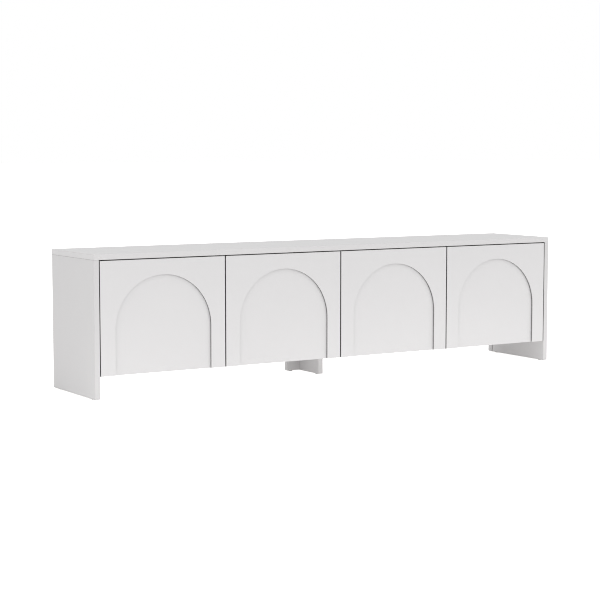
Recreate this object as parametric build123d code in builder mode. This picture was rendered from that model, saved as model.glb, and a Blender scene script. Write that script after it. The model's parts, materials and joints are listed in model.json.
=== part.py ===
from build123d import *
import os
from math import cos, radians, sin

os.makedirs("parts", exist_ok=True)

# Driving dimensions in millimetres. The cabinet's length runs along X, its doors face -Y, Z is up,
# and the origin is on the floor under the middle of the cabinet.
length = 1800
depth = 320
height = 450
board = 18
leg_height = 72
glide_height = 2
edge_round = 1.2
seam_round = 0.6
fit = 0.05

door_count = 4
door_gap = 3.5
side_gap = 2.6
top_gap = 3
door_behind_gap = 2
face_board = 6
backing_board = 12
arch_radius = 168
arch_springing = 139.5

back_board = 5
back_inset = 22
groove_depth = 7
outlet_radius = 30
outlet_height = 345

hinge_from_edge = 70
cup_radius = 17.5
cup_depth = 10.5
cup_centre = 22
flange = 1
link_width = 14
link_steel = 2.5
hook_length = 7.5
outer_opening = 95
door_to_link = 1.25

# Places that follow from the dimensions above.
front = -depth / 2
back = depth / 2
inner_half = length / 2 - board
under_top = height - board
door_thickness = face_board + backing_board
carcass_front = front + door_thickness + door_behind_gap
carcass_back = back - back_inset - back_board
floor_board_top = leg_height + board
door_width = (2 * inner_half - 2 * side_gap - (door_count - 1) * door_gap) / door_count
door_height = under_top - top_gap - leg_height
door_pitch = door_width + door_gap
door_numbers = range(1, door_count + 1)
upright_centres = [(number - 2) * door_pitch for number in range(1, door_count)]
side_centre = length / 2 - board / 2

# A door's own plane coordinates: u runs from its hinged edge towards its free edge, v from its
# front face into the cabinet. Odd doors are hinged on their left edge, even ones on their right.
pivot_arm = (38.5, 54)
pivot_cup = (10.5, 14)
hinge_heights = [leg_height + hinge_from_edge, leg_height + door_height - hinge_from_edge]


def turn(number):
    return 1 if number % 2 else -1


def at(number, u, v):
    left_edge = -inner_half + side_gap + (number - 1) * door_pitch
    hinged_edge = left_edge if turn(number) > 0 else left_edge + door_width
    return (hinged_edge + turn(number) * u, front + v)


def save(piece, name):
    piece.part.label = name
    export_step(piece.part, f"parts/{name}.step")


def block(x_range, y_range, z_range, mode=Mode.ADD):
    low = [min(span) for span in (x_range, y_range, z_range)]
    high = [max(span) for span in (x_range, y_range, z_range)]
    with Locations(tuple((a + b) / 2 for a, b in zip(low, high))):
        Box(*[b - a for a, b in zip(low, high)], mode=mode)


def bars(points, along, radius, reach, mode=Mode.ADD):
    for point in points:
        with Locations(Plane(origin=point, z_dir=along)):
            Cylinder(radius, reach, align=(Align.CENTER, Align.CENTER, Align.MIN), mode=mode)


def holes(points, along, radius, reach):
    bars(points, along, radius, reach, mode=Mode.SUBTRACT)


def recess(points, along, width, deep, sides):
    # A hexagonal socket, or a cross when sides is 4.
    for point in points:
        with BuildSketch(Plane(origin=point, z_dir=along)) as outline:
            if sides == 6:
                RegularPolygon(width / 2, sides)
            else:
                Rectangle(width, width / 4)
                Rectangle(width / 4, width)
        extrude(outline.sketch, amount=deep, mode=Mode.SUBTRACT)


def screws(points, along, radius, reach, head_radius, head_height, sides=4):
    # Each point is the underside of a head, the shank runs along the direction given.
    against = tuple(-part for part in along)
    bars(points, along, radius, reach)
    bars(points, against, head_radius, head_height)
    tops = [tuple(p + head_height * a for p, a in zip(point, against)) for point in points]
    recess(tops, along, head_radius * 1.1, head_height * 0.7, sides)


# Connectors. Cams and dowels join the uprights to the top and the side panels to the floor board.
cam_radius = 7.5
cam_depth = 12.5
cam_from_end = 34
bolt_radius = 3
bolt_thread = 11
bolt_reach = cam_from_end + 4
dowel_radius = 4
dowel_short = 12
dowel_long = 18
cam_rows = (-100, 100)
dowel_rows = (-60, 60)
floor_board_middle = leg_height + board / 2
uprights = [(-side_centre, 1), (upright_centres[0], 1), (0, 1), (upright_centres[2], -1), (side_centre, -1)]

cam_cross = 8
cam_cross_depth = 2.5
cam_bolt_bore = bolt_radius + 0.8
bolt_clear = 0.5

confirmat_radius = 2.5
confirmat_reach = 44
confirmat_head = 4.5
confirmat_head_height = 4
confirmat_size = (confirmat_radius, confirmat_reach, confirmat_head, confirmat_head_height, 6)
confirmat_beyond = confirmat_reach + confirmat_head_height - board + 2
partition_screw_rows = (-100, 125)

back_screw_radius = 1.5
back_screw_reach = 16
back_screw_head = 3
back_screw_head_height = 1.6
back_screw_hole = back_screw_reach - back_board + 3
back_screw_beside = 4.75

# Shelves rest on pins, which have two more rows of holes above and below.
shelf_bottom = (floor_board_top + under_top) / 2 - board / 2
shelf_front = carcass_front + 20
shelf_back = carcass_back - 5
shelf_side_gap = 1
pin_radius = 2.5
pin_in = 8
pin_out = 8
pin_rows_y = (-95, 115)
pin_step = 32
pin_height = shelf_bottom - pin_radius

# Centre leg: a blade that runs front to back, with a wider cross plate behind it.
blade_front = -35
blade_back = 90
cross_half_width = 57
cross_back = blade_back + board
leg_screw_x = 40
leg_screw_height = 40
cross_middle = (blade_back + cross_back) / 2

glide_radius = 7.5
nail_radius = 1
nail_reach = 12
glide_round = 0.8
side_glide_rows = (-130, 118)
glide_spots = [(x, y) for x in (-side_centre, side_centre) for y in side_glide_rows]
blade_glide = (0, -15)
cross_glides = [(-leg_screw_x, cross_middle), (leg_screw_x, cross_middle)]

# Hinge cups, with two screws beside each and a slot that the link swings in.
cup_rim = 1.5
cup_floor = 0.8
cup_slot = (7.4, 36.4)
cup_slot_half = 8
cup_tab = (25, 38)
cup_tab_half = 28
cup_screw_u = cup_centre + 9.5
cup_screw_spread = 22.5
cup_screw_radius = 1.75
cup_screw_reach = 10
cup_screw_head = 3.5
cup_screw_head_height = 1.6
cup_pin_radius = 1.5
cup_pin_half = 10.5
cup_knuckle = 2.6
arm_knuckle = 4.2

# Hinge plates, with the screw line at one depth behind the door's front.
plate_top = 11
plate_ends = (50, 95)
plate_half = 9
wing = 3
wing_half = 8
wing_spread = 24
plate_screw_v = 70
plate_screw_spread = 16
plate_screw_radius = 2.5
plate_screw_reach = 8.5
plate_screw_head = 4.2
plate_screw_head_height = 2

# Arms are channels with a pin across their nose. One screw clamps each arm to its plate.
arm_outline = [(plate_top, 46), (plate_top, 100), (20, 100), (43, 62), (43, 50), (36, 48), (18, 58), (16, 46)]
arm_half = 9.1
arm_wall = 1.5
arm_base = 3
arm_pin_radius = 2
arm_screw_v = 86
arm_screw_radius = 2.5
arm_screw_into_plate = 3
arm_screw_head = 4
arm_screw_head_height = 2.5

# Push latches hang under the top, next to each door's free edge.
latch_beside = 30
latch_height = 423
latch_half_width = 7
latch_body_bottom = 416
latch_body_front = carcass_front + 2.5
latch_body_length = 47.5
latch_bore = 40
latch_mouth = 4
plunger_radius = 3
tip_radius = 4
tip_length = 2.5
tip_gap = 0.3
tip_clear = 0.5
tip_round = 0.8
plunger_reach = 35
peg_radius = 2
peg_height = 6
peg_setbacks = (12.5, 37.5)


def latch_x(number):
    free_edge = at(number, door_width, 0)[0]
    return free_edge - turn(number) * (latch_beside - door_gap / 2)


def plate_face(number):
    # Outer doors hang on the side panels, inner ones on the centre partition behind them.
    return -side_gap if number in (1, door_count) else (board - door_gap) / 2


def plate_screw_points(numbers, rise):
    return [
        (at(number, plate_face(number) + rise, 0)[0], front + plate_screw_v, z + side)
        for number in numbers
        for z in hinge_heights
        for side in (-plate_screw_spread, plate_screw_spread)
    ]


def arm_screw_points(number, u):
    x, y = at(number, u, arm_screw_v)
    return [(x, y, z) for z in hinge_heights]


def pin_starts(number, pivot, half):
    return [(*at(number, *pivot), z - half) for z in hinge_heights]


def cup_screw_spots(number, v):
    x, y = at(number, cup_screw_u, v)
    return [(x, y, z + side) for z in hinge_heights for side in (-cup_screw_spread, cup_screw_spread)]


def bolts_up(x):
    return [(x, y, under_top) for y in cam_rows]


def drill_upright_top(x, facing):
    # Holes in an upright for its cams, their bolts and the dowels to the top.
    face = x + facing * board / 2
    cams = [(face, y, under_top - cam_from_end) for y in cam_rows]
    holes(cams, (-facing, 0, 0), cam_radius + fit, cam_depth + fit)
    holes(bolts_up(x), (0, 0, -1), bolt_radius + bolt_clear, bolt_reach + 1)
    holes([(x, y, under_top) for y in dowel_rows], (0, 0, -1), dowel_radius + fit, dowel_long + fit)


def drill_pin_rows(x, facing):
    # Shelf-pin holes in the face of an upright.
    rows = [pin_height - pin_step, pin_height, pin_height + pin_step]
    points = [(x + facing * board / 2, y, z) for y in pin_rows_y for z in rows]
    holes(points, (-facing, 0, 0), pin_radius + fit, pin_in + fit)


# Top panel, full width over the side panels, with a groove for the back panels.
with BuildPart() as top_panel:
    with BuildSketch(Plane.XY.offset(under_top)):
        Rectangle(length, depth)
    extrude(amount=board)
    fillet(top_panel.edges(), edge_round)
    groove_y = (carcass_back - fit, carcass_back + back_board + fit)
    groove_end = inner_half + groove_depth
    block((-groove_end, groove_end), groove_y, (under_top, under_top + groove_depth), Mode.SUBTRACT)
    for x, facing in uprights:
        holes(bolts_up(x), (0, 0, 1), bolt_radius + fit, bolt_thread + fit)
        holes([(x, y, under_top) for y in dowel_rows], (0, 0, 1), dowel_radius + fit, dowel_short + fit)
    for number in door_numbers:
        pegs = [(latch_x(number), latch_body_front + y, under_top) for y in peg_setbacks]
        holes(pegs, (0, 0, 1), peg_radius + fit, peg_height + fit)
save(top_panel, "top_panel")


# Side panels, from the glides up to the underside of the top.
def make_side_panel(name, facing, numbers):
    centre = -facing * side_centre
    inner = centre + facing * board / 2
    with BuildPart() as side_panel:
        with BuildSketch(Plane.XY.offset(glide_height)):
            with Locations((centre, 0)):
                Rectangle(board, depth)
        extrude(amount=under_top - glide_height)
        fillet(side_panel.edges().filter_by(Axis.Z), edge_round)
        fillet(side_panel.faces().sort_by(Axis.Z)[0].edges(), seam_round)
        fillet(side_panel.faces().sort_by(Axis.Z)[-1].edges(), seam_round)
        groove_x = (inner, inner - facing * groove_depth)
        groove_y = (carcass_back - fit, carcass_back + back_board + fit)
        block(groove_x, groove_y, (glide_height, under_top), Mode.SUBTRACT)
        drill_upright_top(centre, facing)
        drill_pin_rows(centre, facing)
        into = (-facing, 0, 0)
        holes([(inner, y, floor_board_middle) for y in cam_rows], into, bolt_radius + fit, bolt_thread + fit)
        dowel_starts = [(inner, y, floor_board_middle) for y in dowel_rows]
        holes(dowel_starts, into, dowel_radius + fit, dowel_short + fit)
        holes(plate_screw_points(numbers, 0), into, plate_screw_radius + fit, plate_screw_reach + fit)
        nails = [(centre, y, glide_height) for y in side_glide_rows]
        holes(nails, (0, 0, 1), nail_radius + fit, nail_reach + fit)
    save(side_panel, name)


make_side_panel("left_side_panel", 1, [1])
make_side_panel("right_side_panel", -1, [door_count])

# Floor board between the side panels, level with the bottom edges of the doors.
with BuildPart() as bottom_panel:
    block((-inner_half, inner_half), (carcass_front, carcass_back), (leg_height, floor_board_top))
    fillet(bottom_panel.edges().filter_by(Axis.X).group_by(Axis.Y)[0], seam_round)
    for facing in (1, -1):
        end = -facing * inner_half
        cams = [(end + facing * cam_from_end, y, leg_height) for y in cam_rows]
        holes(cams, (0, 0, 1), cam_radius + fit, cam_depth + fit)
        into = (facing, 0, 0)
        ends = [(end, y, floor_board_middle) for y in cam_rows]
        holes(ends, into, bolt_radius + bolt_clear, bolt_reach + 1)
        holes([(end, y, floor_board_middle) for y in dowel_rows], into, dowel_radius + fit, dowel_long + fit)
    from_below = [(x, y, leg_height) for x in upright_centres for y in partition_screw_rows]
    holes(from_below, (0, 0, 1), confirmat_radius + fit, board)
    holes(from_below, (0, 0, 1), confirmat_head + fit, confirmat_head_height)
    from_above = [(x, cross_middle, floor_board_top) for x in (-leg_screw_x, leg_screw_x)]
    holes(from_above, (0, 0, -1), confirmat_radius + fit, board)
    holes(from_above, (0, 0, -1), confirmat_head + fit, confirmat_head_height)
    rear_spots = [sign * x for x in (110, 330, 550, 770) for sign in (-1, 1)]
    rear = [(x, carcass_back, floor_board_middle) for x in rear_spots]
    holes(rear, (0, -1, 0), back_screw_radius + fit, back_screw_hole)
save(bottom_panel, "bottom_panel")

# Three partitions stand on the floor board behind the gaps between the doors.
back_screw_rows = (130, 252, 374)
partition_names = ("left_partition", "centre_partition", "right_partition")
for name, (x, facing) in zip(partition_names, uprights[1:4]):
    with BuildPart() as partition:
        block((x - board / 2, x + board / 2), (carcass_front, carcass_back), (floor_board_top, under_top))
        fillet(partition.edges().filter_by(Axis.Z).group_by(Axis.Y)[0], seam_round)
        drill_upright_top(x, facing)
        for side in (1, -1):
            drill_pin_rows(x, side)
        feet = [(x, y, floor_board_top) for y in partition_screw_rows]
        holes(feet, (0, 0, 1), confirmat_radius + fit, confirmat_beyond)
        if name == "centre_partition":
            for number in (2, 3):
                points = plate_screw_points([number], 0)
                holes(points, (-turn(number), 0, 0), plate_screw_radius + fit, plate_screw_reach + fit)
            screw_xs = (-back_screw_beside, back_screw_beside)
        else:
            screw_xs = (x,)
        rear = [(screw_x, carcass_back, z) for screw_x in screw_xs for z in back_screw_rows]
        holes(rear, (0, -1, 0), back_screw_radius + fit, back_screw_hole)
    save(partition, name)

# Two back panels meet on the centre partition, each with two cable outlets.
groove_end_gap = 1
seam_gap = 1
compartment_middles = [(number - 2.5) * door_pitch for number in door_numbers]
back_screw_spots = [(x, floor_board_middle) for x in rear_spots]
back_screw_columns = (upright_centres[0], -back_screw_beside, back_screw_beside, upright_centres[2])
back_screw_spots += [(x, z) for x in back_screw_columns for z in back_screw_rows]
for name, side in (("left_back_panel", -1), ("right_back_panel", 1)):
    outer = inner_half + groove_depth - groove_end_gap
    with BuildPart() as back_panel:
        y_range = (carcass_back, carcass_back + back_board)
        z_range = (leg_height, under_top + groove_depth - groove_end_gap)
        block((side * seam_gap / 2, side * outer), y_range, z_range)
        outlets = [(x, carcass_back, outlet_height) for x in compartment_middles if x * side > 0]
        holes(outlets, (0, 1, 0), outlet_radius, back_board)
        spots = [(x, carcass_back, z) for x, z in back_screw_spots if x * side > 0]
        holes(spots, (0, 1, 0), back_screw_radius + fit, back_board)
    save(back_panel, name)

with BuildPart() as back_screws:
    heads = [(x, carcass_back + back_board, z) for x, z in back_screw_spots]
    screws(heads, (0, -1, 0), back_screw_radius, back_screw_reach, back_screw_head, back_screw_head_height)
save(back_screws, "back_screws")

# Cable grommets: a sleeve through the outlet and a flange behind the back panel.
grommet_wall = 2.5
grommet_flange = 4
grommet_flange_thickness = 2
grommet_round = 0.8
grommet_reach = back_board + 1
with BuildPart() as cable_grommets:
    behind = carcass_back + back_board
    rims = [(x, behind, outlet_height) for x in compartment_middles]
    bars(rims, (0, 1, 0), outlet_radius + grommet_flange, grommet_flange_thickness)
    bars(rims, (0, -1, 0), outlet_radius - fit, grommet_reach)
    fillet(cable_grommets.edges().filter_by(GeomType.CIRCLE).group_by(Axis.Y)[-1], grommet_round)
    through = [(x, behind + grommet_flange_thickness, outlet_height) for x in compartment_middles]
    holes(through, (0, -1, 0), outlet_radius - grommet_wall, grommet_flange_thickness + grommet_reach)
save(cable_grommets, "cable_grommets")

# Shelves and their pins.
compartments = [
    (middle - door_pitch / 2 + board / 2, middle + door_pitch / 2 - board / 2)
    for middle in compartment_middles
]
compartments[0] = (-inner_half, compartments[0][1])
compartments[-1] = (compartments[-1][0], inner_half)
for number, (left, right) in zip(door_numbers, compartments):
    with BuildPart() as shelf:
        x_range = (left + shelf_side_gap, right - shelf_side_gap)
        block(x_range, (shelf_front, shelf_back), (shelf_bottom, shelf_bottom + board))
        fillet(shelf.edges().filter_by(Axis.X).group_by(Axis.Y)[0], seam_round)
    save(shelf, f"shelf_{number}")

with BuildPart() as shelf_pins:
    for left, right in compartments:
        for y in pin_rows_y:
            bars([(left - pin_in, y, pin_height)], (1, 0, 0), pin_radius, pin_in + pin_out)
            bars([(right + pin_in, y, pin_height)], (-1, 0, 0), pin_radius, pin_in + pin_out)
save(shelf_pins, "shelf_pins")

# Centre leg.
with BuildPart() as centre_leg_blade:
    block((-board / 2, board / 2), (blade_front, blade_back), (glide_height, leg_height))
    fillet(centre_leg_blade.edges().filter_by(Axis.Z).group_by(Axis.Y)[0], edge_round)
    holes([(0, blade_back, leg_screw_height)], (0, -1, 0), confirmat_radius + fit, confirmat_beyond)
    holes([(*blade_glide, glide_height)], (0, 0, 1), nail_radius + fit, nail_reach + fit)
save(centre_leg_blade, "centre_leg_blade")

with BuildPart() as centre_leg_cross:
    block((-cross_half_width, cross_half_width), (blade_back, cross_back), (glide_height, leg_height))
    fillet(centre_leg_cross.edges().filter_by(Axis.Z), edge_round)
    holes([(0, cross_back, leg_screw_height)], (0, -1, 0), confirmat_radius + fit, board)
    holes([(0, cross_back, leg_screw_height)], (0, -1, 0), confirmat_head + fit, confirmat_head_height)
    feet = [(x, cross_middle, leg_height) for x in (-leg_screw_x, leg_screw_x)]
    holes(feet, (0, 0, -1), confirmat_radius + fit, confirmat_beyond)
    holes([(*spot, glide_height) for spot in cross_glides], (0, 0, 1), nail_radius + fit, nail_reach + fit)
save(centre_leg_cross, "centre_leg_cross")

with BuildPart() as floor_glides:
    spots = [(*spot, 0) for spot in [*glide_spots, blade_glide, *cross_glides]]
    bars(spots, (0, 0, 1), glide_radius, glide_height)
    fillet(floor_glides.edges().group_by(Axis.Z)[0], glide_round)
    bars(spots, (0, 0, 1), nail_radius, glide_height + nail_reach)
save(floor_glides, "floor_glides")

# Cams with a cross recess, and the bolts that they pull.
cam_bolt_through = cam_radius + bolt_reach - cam_from_end + 2
with BuildPart() as cam_locks:
    for x, facing in uprights:
        face = x + facing * board / 2
        centres = [(face, y, under_top - cam_from_end) for y in cam_rows]
        bars(centres, (-facing, 0, 0), cam_radius, cam_depth)
        recess(centres, (-facing, 0, 0), cam_cross, cam_cross_depth, 4)
        tops = [(x, y, z + cam_radius + 1) for _, y, z in centres]
        holes(tops, (0, 0, -1), cam_bolt_bore, cam_bolt_through)
    for facing in (1, -1):
        x = -facing * (inner_half - cam_from_end)
        centres = [(x, y, leg_height) for y in cam_rows]
        bars(centres, (0, 0, 1), cam_radius, cam_depth)
        recess(centres, (0, 0, 1), cam_cross, cam_cross_depth, 4)
        sides = [(x - facing * (cam_radius + 1), y, floor_board_middle) for y in cam_rows]
        holes(sides, (facing, 0, 0), cam_bolt_bore, cam_bolt_through)
save(cam_locks, "cam_locks")

with BuildPart() as cam_bolts:
    for x, _ in uprights:
        starts = [(x, y, under_top + bolt_thread) for y in cam_rows]
        bars(starts, (0, 0, -1), bolt_radius, bolt_thread + bolt_reach)
    for facing in (1, -1):
        starts = [(-facing * (inner_half + bolt_thread), y, floor_board_middle) for y in cam_rows]
        bars(starts, (facing, 0, 0), bolt_radius, bolt_thread + bolt_reach)
save(cam_bolts, "cam_bolts")

with BuildPart() as dowels:
    for x, _ in uprights:
        tops = [(x, y, under_top + dowel_short) for y in dowel_rows]
        bars(tops, (0, 0, -1), dowel_radius, dowel_short + dowel_long)
    for facing in (1, -1):
        starts = [(-facing * (inner_half + dowel_short), y, floor_board_middle) for y in dowel_rows]
        bars(starts, (facing, 0, 0), dowel_radius, dowel_short + dowel_long)
save(dowels, "dowels")

with BuildPart() as carcass_screws:
    seat = leg_height + confirmat_head_height
    seats = [(x, y, seat) for x in upright_centres for y in partition_screw_rows]
    screws(seats, (0, 0, 1), *confirmat_size)
    seats = [(x, cross_middle, floor_board_top - confirmat_head_height) for x in (-leg_screw_x, leg_screw_x)]
    screws(seats, (0, 0, -1), *confirmat_size)
    screws([(0, cross_back - confirmat_head_height, leg_screw_height)], (0, -1, 0), *confirmat_size)
save(carcass_screws, "carcass_screws")


# Doors: a face board with an arch cut through it, on a plain backing board.
def make_door(number):
    middle_x = at(number, door_width / 2, 0)[0]
    middle_z = leg_height + door_height / 2
    front_plane = Plane(origin=(middle_x, front, middle_z), x_dir=(1, 0, 0), z_dir=(0, -1, 0))
    with BuildPart() as door_face:
        with BuildSketch(front_plane):
            Rectangle(door_width, door_height)
        extrude(amount=-face_board)
        fillet(door_face.faces().sort_by(Axis.Y)[0].edges(), edge_round)
        with BuildSketch(front_plane):
            with Locations((0, arch_springing - door_height / 2)):
                Circle(arch_radius)
                Rectangle(2 * arch_radius, arch_springing, align=(Align.CENTER, Align.MAX))
        extrude(amount=-face_board, mode=Mode.SUBTRACT)
    save(door_face, f"door_face_{number}")

    cups = [(at(number, cup_centre, 0)[0], front + door_thickness, z) for z in hinge_heights]
    spots = cup_screw_spots(number, door_thickness)
    with BuildPart() as door_backing:
        with BuildSketch(front_plane.offset(-face_board)):
            Rectangle(door_width, door_height)
        extrude(amount=-backing_board)
        fillet(door_backing.faces().sort_by(Axis.Y)[-1].edges(), edge_round)
        holes(cups, (0, -1, 0), cup_radius + fit, backing_board)
        holes(spots, (0, -1, 0), cup_screw_radius + fit, cup_screw_reach)
    save(door_backing, f"door_backing_{number}")


# Concealed hinges: a cup in the door, a gooseneck link, and an arm on a mounting plate.
def make_hinges(number):
    rim = front + door_thickness
    tab, slot = [[at(number, u, 0)[0] for u in ends] for ends in (cup_tab, cup_slot)]
    with BuildPart() as hinge_cups:
        centres = [(at(number, cup_centre, 0)[0], rim, z) for z in hinge_heights]
        bars(centres, (0, -1, 0), cup_radius, cup_depth)
        bars(centres, (0, 1, 0), cup_radius + cup_rim, flange)
        slot_y = (rim - cup_depth + cup_floor, rim + flange)
        for z in hinge_heights:
            block(tab, (rim, rim + flange), (z - cup_tab_half, z + cup_tab_half))
            block(slot, slot_y, (z - cup_slot_half, z + cup_slot_half), Mode.SUBTRACT)
        pins = pin_starts(number, pivot_cup, cup_pin_half)
        holes(pins, (0, 0, 1), cup_pin_radius + fit / 2, 2 * cup_pin_half)
        holes(cup_screw_spots(number, door_thickness), (0, 1, 0), cup_screw_radius + fit, flange)
    save(hinge_cups, f"hinge_cups_{number}")

    with BuildPart() as cup_pins:
        bars(pins, (0, 0, 1), cup_pin_radius, 2 * cup_pin_half)
    save(cup_pins, f"cup_pins_{number}")

    with BuildPart() as cup_screws:
        size = (cup_screw_radius, cup_screw_reach, cup_screw_head, cup_screw_head_height)
        screws(cup_screw_spots(number, door_thickness + flange), (0, -1, 0), *size)
    save(cup_screws, f"cup_screws_{number}")

    hook_angle = radians(90 - door_to_link * outer_opening)
    hook = (pivot_cup[0] + hook_length * cos(hook_angle), pivot_cup[1] + hook_length * sin(hook_angle))
    with BuildPart() as hinge_links:
        for z in hinge_heights:
            with BuildSketch(Plane.XY.offset(z - link_width / 2)):
                with BuildLine():
                    Polyline(at(number, *pivot_cup), at(number, *hook), at(number, *pivot_arm))
                trace(line_width=link_steel)
                with Locations(at(number, *hook)):
                    Circle(link_steel / 2)
                with Locations(at(number, *pivot_cup)):
                    Circle(cup_knuckle)
                with Locations(at(number, *pivot_arm)):
                    Circle(arm_knuckle)
                with Locations(at(number, *pivot_cup)):
                    Circle(cup_pin_radius + fit, mode=Mode.SUBTRACT)
                with Locations(at(number, *pivot_arm)):
                    Circle(arm_pin_radius + fit, mode=Mode.SUBTRACT)
            extrude(amount=link_width)
    save(hinge_links, f"hinge_links_{number}")

    with BuildPart() as hinge_arms:
        inner_half_width = arm_half - arm_wall
        inside = (at(number, plate_top + arm_base, 0)[0], at(number, 60, 0)[0])
        for z in hinge_heights:
            with BuildSketch(Plane.XY.offset(z - arm_half)):
                with BuildLine():
                    Polyline(*[at(number, *point) for point in arm_outline], close=True)
                make_face()
            extrude(amount=2 * arm_half)
            z_range = (z - inner_half_width, z + inner_half_width)
            block(inside, (front + 40, front + 110), z_range, Mode.SUBTRACT)
        pins = pin_starts(number, pivot_arm, arm_half)
        holes(pins, (0, 0, 1), arm_pin_radius + fit / 2, 2 * arm_half)
        holes(arm_screw_points(number, plate_top), (turn(number), 0, 0), arm_screw_radius + fit, arm_base)
    save(hinge_arms, f"hinge_arms_{number}")


for number in door_numbers:
    make_door(number)
    make_hinges(number)

with BuildPart() as arm_pins:
    for number in door_numbers:
        bars(pin_starts(number, pivot_arm, arm_half), (0, 0, 1), arm_pin_radius, 2 * arm_half)
save(arm_pins, "arm_pins")

with BuildPart() as hinge_plates:
    for number in door_numbers:
        foot = plate_face(number)
        x_foot, x_wing, x_top = [at(number, u, 0)[0] for u in (foot, foot + wing, plate_top)]
        plate_y = [front + end for end in plate_ends]
        wings_y = (front + plate_screw_v - wing_half, front + plate_screw_v + wing_half)
        for z in hinge_heights:
            block((x_foot, x_top), plate_y, (z - plate_half, z + plate_half))
            block((x_foot, x_wing), wings_y, (z - wing_spread, z + wing_spread))
        points = plate_screw_points([number], 0)
        holes(points, (turn(number), 0, 0), plate_screw_radius + fit, wing)
        points = arm_screw_points(number, plate_top)
        holes(points, (-turn(number), 0, 0), arm_screw_radius + fit, arm_screw_into_plate)
save(hinge_plates, "hinge_plates")

with BuildPart() as arm_screws:
    for number in door_numbers:
        points = arm_screw_points(number, plate_top + arm_base)
        reach = arm_base + arm_screw_into_plate - fit
        screws(points, (-turn(number), 0, 0), arm_screw_radius, reach, arm_screw_head, arm_screw_head_height)
save(arm_screws, "arm_screws")

with BuildPart() as plate_screws:
    for number in door_numbers:
        points = plate_screw_points([number], wing)
        size = (plate_screw_radius, wing + plate_screw_reach, plate_screw_head, plate_screw_head_height)
        screws(points, (-turn(number), 0, 0), *size)
save(plate_screws, "plate_screws")

# Push latches.
with BuildPart() as latch_housings:
    for number in door_numbers:
        x = latch_x(number)
        y_range = (latch_body_front, latch_body_front + latch_body_length)
        block((x - latch_half_width, x + latch_half_width), y_range, (latch_body_bottom, under_top))
        bars([(x, latch_body_front + y, under_top) for y in peg_setbacks], (0, 0, 1), peg_radius, peg_height)
        mouth = [(x, latch_body_front, latch_height)]
        holes(mouth, (0, 1, 0), plunger_radius + fit, latch_bore)
        holes(mouth, (0, 1, 0), tip_radius + tip_clear, latch_mouth)
save(latch_housings, "latch_housings")

for number in door_numbers:
    tip_y = front + door_thickness + tip_gap
    with BuildPart() as latch_plunger:
        bars([(latch_x(number), tip_y, latch_height)], (0, 1, 0), tip_radius, tip_length)
        fillet(latch_plunger.edges().group_by(Axis.Y)[0], tip_round)
        bars([(latch_x(number), tip_y, latch_height)], (0, 1, 0), plunger_radius, plunger_reach)
    save(latch_plunger, f"latch_plunger_{number}")
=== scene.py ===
import json

import bpy
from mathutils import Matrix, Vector

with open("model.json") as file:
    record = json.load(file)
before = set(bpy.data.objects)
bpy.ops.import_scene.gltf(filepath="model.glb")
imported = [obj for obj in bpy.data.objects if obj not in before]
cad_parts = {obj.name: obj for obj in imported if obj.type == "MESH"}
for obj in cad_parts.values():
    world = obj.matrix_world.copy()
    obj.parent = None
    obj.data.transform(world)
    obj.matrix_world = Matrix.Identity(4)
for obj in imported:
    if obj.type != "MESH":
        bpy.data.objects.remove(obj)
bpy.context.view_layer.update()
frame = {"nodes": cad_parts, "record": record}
nodes = frame["nodes"]
slot_of = {part["node"]: part["material_slot"] for part in frame["record"]["subparts"]}


# Small helpers for node trees.
def new_material(name):
    material = bpy.data.materials.new(name)
    material.use_nodes = True
    tree = material.node_tree
    return material, tree, tree.nodes["Principled BSDF"]


def ramp(tree, source, stops):
    node = tree.nodes.new("ShaderNodeValToRGB")
    elements = node.color_ramp.elements
    for element, (place, colour) in zip(elements, (stops[0], stops[-1])):
        element.position = place
        element.color = (*colour, 1)
    for place, colour in stops[1:-1]:
        elements.new(place).color = (*colour, 1)
    tree.links.new(source, node.inputs["Fac"])
    return node.outputs["Color"]


def spread(tree, source, low, high):
    # Carries 0 to 1 over to the range from low to high.
    node = tree.nodes.new("ShaderNodeMapRange")
    node.inputs["To Min"].default_value = low
    node.inputs["To Max"].default_value = high
    tree.links.new(source, node.inputs["Value"])
    return node.outputs["Result"]


def noise(tree, scale, detail=2.0, stretch=(1, 1, 1)):
    place = tree.nodes.new("ShaderNodeTexCoord")
    mapping = tree.nodes.new("ShaderNodeMapping")
    mapping.inputs["Scale"].default_value = stretch
    tree.links.new(place.outputs["Object"], mapping.inputs["Vector"])
    texture = tree.nodes.new("ShaderNodeTexNoise")
    texture.inputs["Scale"].default_value = scale
    texture.inputs["Detail"].default_value = detail
    tree.links.new(mapping.outputs["Vector"], texture.inputs["Vector"])
    return texture.outputs["Fac"]


def bump(tree, shader, height, distance, strength=1.0):
    node = tree.nodes.new("ShaderNodeBump")
    node.inputs["Distance"].default_value = distance
    node.inputs["Strength"].default_value = strength
    tree.links.new(height, node.inputs["Height"])
    tree.links.new(node.outputs["Normal"], shader.inputs["Normal"])


def grey(level):
    return (level, level, level)


def shade_creases(tree, colour, reach, deepest):
    # Painted shade: faces that look along X or Z are darkened in colour where another face lies within
    # reach, as in the gaps, standing in for the shade there.
    place = tree.nodes.new("ShaderNodeTexCoord")
    parts = tree.nodes.new("ShaderNodeSeparateXYZ")
    tree.links.new(place.outputs["Normal"], parts.inputs["Vector"])
    facing = tree.nodes.new("ShaderNodeMath")
    facing.operation = "ABSOLUTE"
    tree.links.new(parts.outputs["Y"], facing.inputs[0])
    sideways = ramp(tree, facing.outputs["Value"], [(0.35, grey(1)), (0.8, grey(0))])
    occlusion = tree.nodes.new("ShaderNodeAmbientOcclusion")
    occlusion.samples = 8
    occlusion.inputs["Distance"].default_value = reach
    shade = ramp(tree, occlusion.outputs["AO"], [(0.6, grey(deepest)), (0.9, grey(1))])
    mix = tree.nodes.new("ShaderNodeMix")
    mix.data_type = "RGBA"
    mix.blend_type = "MULTIPLY"
    tree.links.new(sideways, mix.inputs["Factor"])
    tree.links.new(colour, mix.inputs[6])
    tree.links.new(shade, mix.inputs[7])
    return mix.outputs[2]


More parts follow.
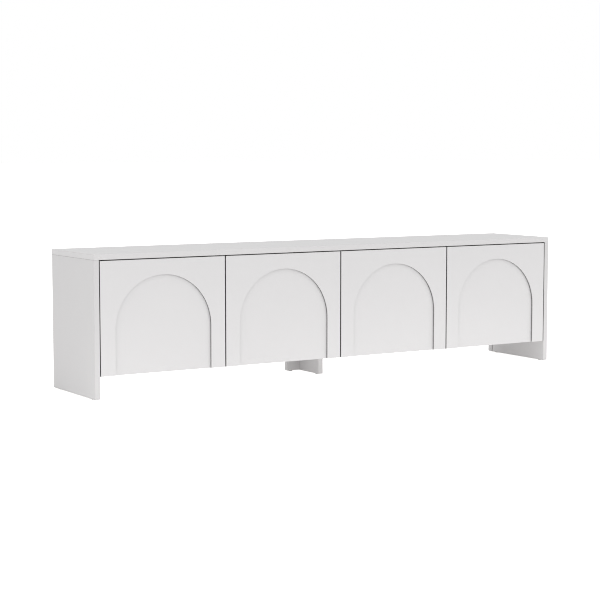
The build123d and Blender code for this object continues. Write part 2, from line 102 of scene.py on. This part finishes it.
def lacquer(name, light, dark, gloss, crease=None):
    # Sprayed lacquer: faint cloudiness, orange peel and small changes of gloss; with crease set, painted
    # shade in the gaps and recesses.
    material, tree, shader = new_material(name)
    colour = ramp(tree, noise(tree, 2.5, 4), [(0.3, dark), (0.7, light)])
    if crease:
        colour = shade_creases(tree, colour, *crease)
    tree.links.new(colour, shader.inputs["Base Color"])
    tree.links.new(spread(tree, noise(tree, 14, 3), *gloss), shader.inputs["Roughness"])
    bump(tree, shader, noise(tree, 420, 2), 0.00004, 0.35)
    return material


def foil(name):
    # Printed foil on thin hardboard, with a fine pressed grain.
    material, tree, shader = new_material(name)
    colour = ramp(tree, noise(tree, 6, 5), [(0.35, (0.745, 0.745, 0.74)), (0.65, (0.765, 0.765, 0.76))])
    tree.links.new(colour, shader.inputs["Base Color"])
    tree.links.new(spread(tree, noise(tree, 30, 3), 0.5, 0.62), shader.inputs["Roughness"])
    bump(tree, shader, noise(tree, 900, 3, (1, 1, 0.15)), 0.00006, 0.5)
    return material


def steel(name, light, dark, gloss, stretch):
    # Plated steel with drawn marks along one direction.
    material, tree, shader = new_material(name)
    shader.inputs["Metallic"].default_value = 1.0
    colour = ramp(tree, noise(tree, 60, 4), [(0.3, dark), (0.7, light)])
    tree.links.new(colour, shader.inputs["Base Color"])
    tree.links.new(spread(tree, noise(tree, 90, 4, stretch), *gloss), shader.inputs["Roughness"])
    bump(tree, shader, noise(tree, 700, 3, stretch), 0.00002, 0.4)
    return material


def plastic(name, light, dark, gloss):
    # Moulded plastic with a spark-eroded texture.
    material, tree, shader = new_material(name)
    colour = ramp(tree, noise(tree, 25, 3), [(0.35, dark), (0.65, light)])
    tree.links.new(colour, shader.inputs["Base Color"])
    tree.links.new(spread(tree, noise(tree, 120, 2), *gloss), shader.inputs["Roughness"])
    bump(tree, shader, noise(tree, 1800, 2), 0.00005, 0.5)
    return material


def beech(name):
    material, tree, shader = new_material(name)
    grain = noise(tree, 180, 5, (1, 1, 0.08))
    colour = ramp(tree, grain, [(0.3, (0.42, 0.26, 0.14)), (0.7, (0.62, 0.43, 0.26))])
    tree.links.new(colour, shader.inputs["Base Color"])
    shader.inputs["Roughness"].default_value = 0.6
    bump(tree, shader, grain, 0.0001, 0.5)
    return material


# Each finish is a light colour, a dark colour and a range of roughness. The side panels and the doors use
# the one white lacquer, painted darker as shade on the sides and lighter as light on the doors.
LACQUER_GLOSS = (0.29, 0.38)
PANEL = ((0.725, 0.717, 0.72), (0.71, 0.702, 0.705), LACQUER_GLOSS)
SHADED_SIDE = ((0.69, 0.682, 0.685), (0.675, 0.667, 0.67), LACQUER_GLOSS)
LIT_DOOR = ((0.747, 0.739, 0.743), (0.732, 0.724, 0.728), LACQUER_GLOSS)
NICKEL = ((0.66, 0.64, 0.6), (0.56, 0.545, 0.51), (0.28, 0.38))
SCREW = ((0.7, 0.7, 0.69), (0.58, 0.59, 0.6), (0.28, 0.42))
ZINC = ((0.5, 0.5, 0.51), (0.4, 0.4, 0.41), (0.4, 0.55))

# How far the painted crease shade reaches, in metres, and what is left of the colour at its deepest.
DOOR_CREASE = (0.01, 0.08)
SIDE_CREASE = (0.004, 0.12)

# Marks drawn along Y, and marks that run in no direction.
ALONG_Y = (1, 0.1, 1)
EVEN = (1, 1, 1)

materials = {
    "white_lacquer": lacquer("white_lacquer", *PANEL),
    "white_hardboard": foil("white_hardboard"),
    "nickel_steel": steel("nickel_steel", *NICKEL, ALONG_Y),
    "screw_steel": steel("screw_steel", *SCREW, EVEN),
    "zinc": steel("zinc", *ZINC, EVEN),
    "beech": beech("beech"),
    "white_plastic": plastic("white_plastic", (0.8, 0.8, 0.79), (0.76, 0.76, 0.75), (0.4, 0.5)),
    "grey_plastic": plastic("grey_plastic", (0.2, 0.2, 0.205), (0.16, 0.16, 0.165), (0.42, 0.55)),
}
# Door faces get painted crease shade; side panels get painted crease shade on a colour painted darker as
# shade; the doors' colour is painted lighter as light.
face_lacquer = lacquer("face_lacquer", *LIT_DOOR, crease=DOOR_CREASE)
door_lacquer = lacquer("door_lacquer", *LIT_DOOR)
side_lacquer = lacquer("side_lacquer", *SHADED_SIDE, crease=SIDE_CREASE)
for name, node in nodes.items():
    material = materials[slot_of[name]]
    if name.startswith("door_face"):
        material = face_lacquer
    if name.startswith("door_backing"):
        material = door_lacquer
    if name.endswith("side_panel"):
        material = side_lacquer
    node.data.materials.clear()
    node.data.materials.append(material)


# Floor, light and camera. The glow's stops are shares of the way from its start to its end along Y.
FLOOR_REACH = 60
FLOOR_BASE = 0.7
FLOOR_SEEN = 0.8
FLOOR_FAR = 0.05
FLOOR_FRONT = 0.6
FLOOR_BACK = 0.28
GLOW_START = -1.5
GLOW_END = 0.5
GLOW_STOPS = [(0.1, FLOOR_FAR), (0.45, FLOOR_FRONT), (0.62, FLOOR_FRONT), (0.8, FLOOR_BACK)]
SKY_LEVEL = 0.615
SKY_OVERHEAD = 1.06
SUN_FROM = (1.2, -2.0, 0.3)
SUN_STRENGTH = 0.55
SUN_ANGLE = 1.2
CAMERA_PLACE = (-2.964, -4.682, 0.779)
CAMERA_TARGET = (-0.0612, 0.0, 0.2559)
CAMERA_LENS = 97.4
PIXEL_FILTER = 1.1


def make_floor():
    # Seen by the camera it is evenly white. For everything else it is brightest in front of the cabinet.
    mesh = bpy.data.meshes.new("floor")
    signs = [(-1, -1), (1, -1), (1, 1), (-1, 1)]
    mesh.from_pydata([(x * FLOOR_REACH, y * FLOOR_REACH, 0) for x, y in signs], [], [(0, 1, 2, 3)])
    floor = bpy.data.objects.new("floor", mesh)
    bpy.context.scene.collection.objects.link(floor)
    material, tree, shader = new_material("floor")
    shader.inputs["Roughness"].default_value = 0.9
    shader.inputs["Specular IOR Level"].default_value = 0.0
    shader.inputs["Emission Color"].default_value = (1, 0.985, 0.97, 1)
    place = tree.nodes.new("ShaderNodeTexCoord")
    parts = tree.nodes.new("ShaderNodeSeparateXYZ")
    tree.links.new(place.outputs["Object"], parts.inputs["Vector"])
    along = tree.nodes.new("ShaderNodeMapRange")
    along.inputs["From Min"].default_value = GLOW_START
    along.inputs["From Max"].default_value = GLOW_END
    tree.links.new(parts.outputs["Y"], along.inputs["Value"])
    fade = ramp(tree, along.outputs["Result"], [(spot, grey(level)) for spot, level in GLOW_STOPS])
    path = tree.nodes.new("ShaderNodeLightPath")
    glow = tree.nodes.new("ShaderNodeMix")
    tree.links.new(path.outputs["Is Camera Ray"], glow.inputs["Factor"])
    tree.links.new(fade, glow.inputs[2])
    glow.inputs[3].default_value = FLOOR_SEEN
    tree.links.new(glow.outputs[0], shader.inputs["Emission Strength"])
    tree.links.new(spread(tree, path.outputs["Is Camera Ray"], FLOOR_BASE, 1.0), shader.inputs["Base Color"])
    mesh.materials.append(material)


def make_world(level, overhead):
    # Even light from all round, a little brighter overhead, on a white backdrop.
    world = bpy.data.worlds.new("studio")
    world.use_nodes = True
    tree = world.node_tree
    soft = tree.nodes["Background"]
    soft.inputs["Color"].default_value = (1, 1, 1, 1)
    place = tree.nodes.new("ShaderNodeTexCoord")
    parts = tree.nodes.new("ShaderNodeSeparateXYZ")
    tree.links.new(place.outputs["Generated"], parts.inputs["Vector"])
    tree.links.new(spread(tree, parts.outputs["Z"], level, overhead), soft.inputs["Strength"])
    backdrop = tree.nodes.new("ShaderNodeBackground")
    backdrop.inputs["Color"].default_value = (1, 1, 1, 1)
    path = tree.nodes.new("ShaderNodeLightPath")
    mix = tree.nodes.new("ShaderNodeMixShader")
    tree.links.new(path.outputs["Is Camera Ray"], mix.inputs["Fac"])
    tree.links.new(soft.outputs["Background"], mix.inputs[1])
    tree.links.new(backdrop.outputs["Background"], mix.inputs[2])
    tree.links.new(mix.outputs["Shader"], tree.nodes["World Output"].inputs["Surface"])
    bpy.context.scene.world = world


def make_sun(source, strength, spread_angle):
    light = bpy.data.lights.new("key", "SUN")
    light.energy = strength
    light.angle = spread_angle
    sun = bpy.data.objects.new("key", light)
    sun.rotation_euler = (-Vector(source)).to_track_quat("-Z", "Y").to_euler()
    bpy.context.scene.collection.objects.link(sun)


def make_camera(place, target, lens):
    camera = bpy.data.objects.new("camera", bpy.data.cameras.new("camera"))
    camera.data.lens = lens
    camera.data.sensor_width = 36
    camera.location = place
    camera.rotation_euler = (Vector(target) - Vector(place)).to_track_quat("-Z", "Y").to_euler()
    bpy.context.scene.collection.objects.link(camera)
    bpy.context.scene.camera = camera


make_floor()
make_world(SKY_LEVEL, SKY_OVERHEAD)
make_sun(SUN_FROM, SUN_STRENGTH, SUN_ANGLE)
make_camera(CAMERA_PLACE, CAMERA_TARGET, CAMERA_LENS)
bpy.context.scene.view_settings.view_transform = "Standard"
bpy.context.scene.cycles.filter_width = PIXEL_FILTER
